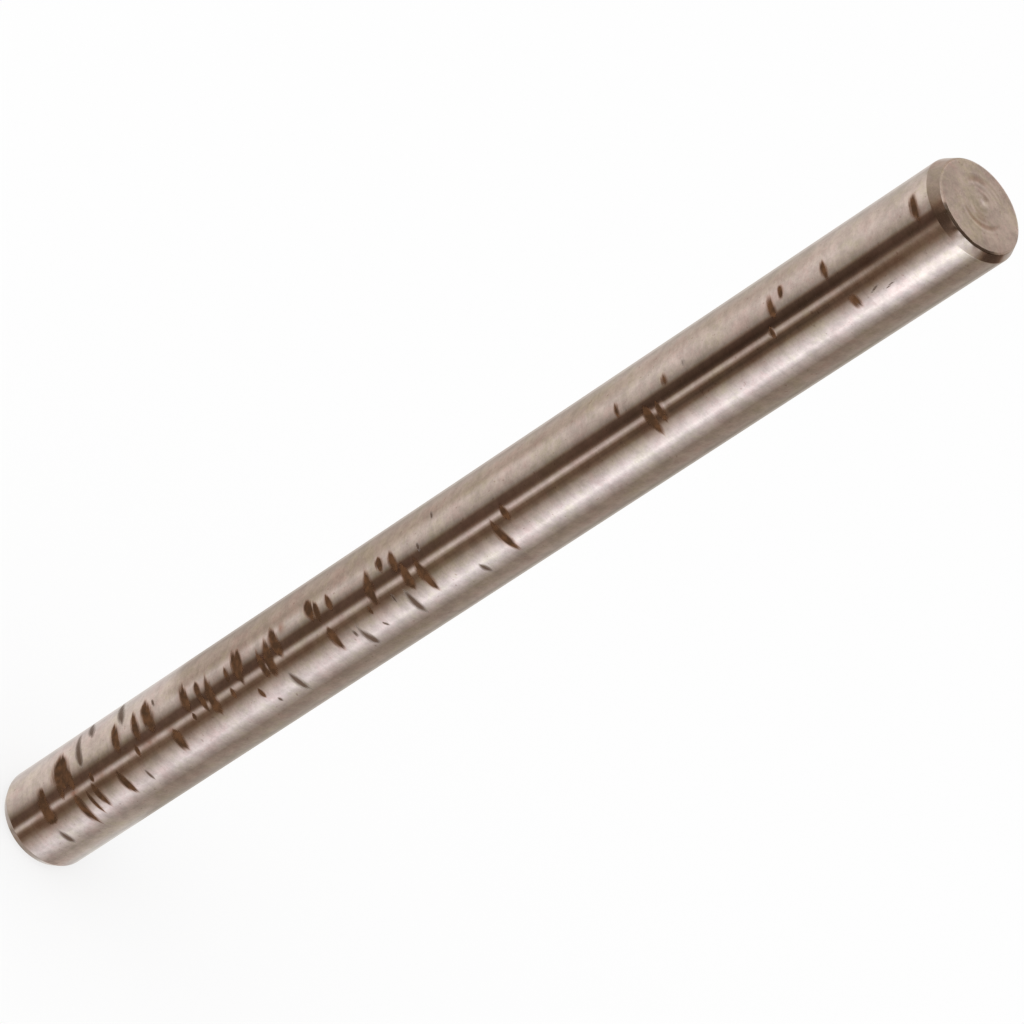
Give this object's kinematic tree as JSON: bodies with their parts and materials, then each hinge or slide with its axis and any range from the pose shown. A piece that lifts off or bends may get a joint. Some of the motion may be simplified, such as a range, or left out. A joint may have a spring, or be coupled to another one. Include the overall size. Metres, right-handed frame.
{
  "type": "piston pin",
  "caption": "Long slender solid round pin of ground steel with a shallow lead-in bevel and softened edges at each end.",
  "frame": {"origin": "centre of the lower end face, on which the pin stands", "axes": "+Z along the pin's axis, from the lower end face to the upper one; the rust-marked side faces -Y"},
  "size_m": [0.0096, 0.0096, 0.1207],
  "materials": {
    "ground_steel": "ground bright round the shank, finely turned ends, with thin brown rust streaks on one side"
  },
  "bodies": {
    "root": {"piston_pin": "ground_steel"}
  },
  "joints": []
}
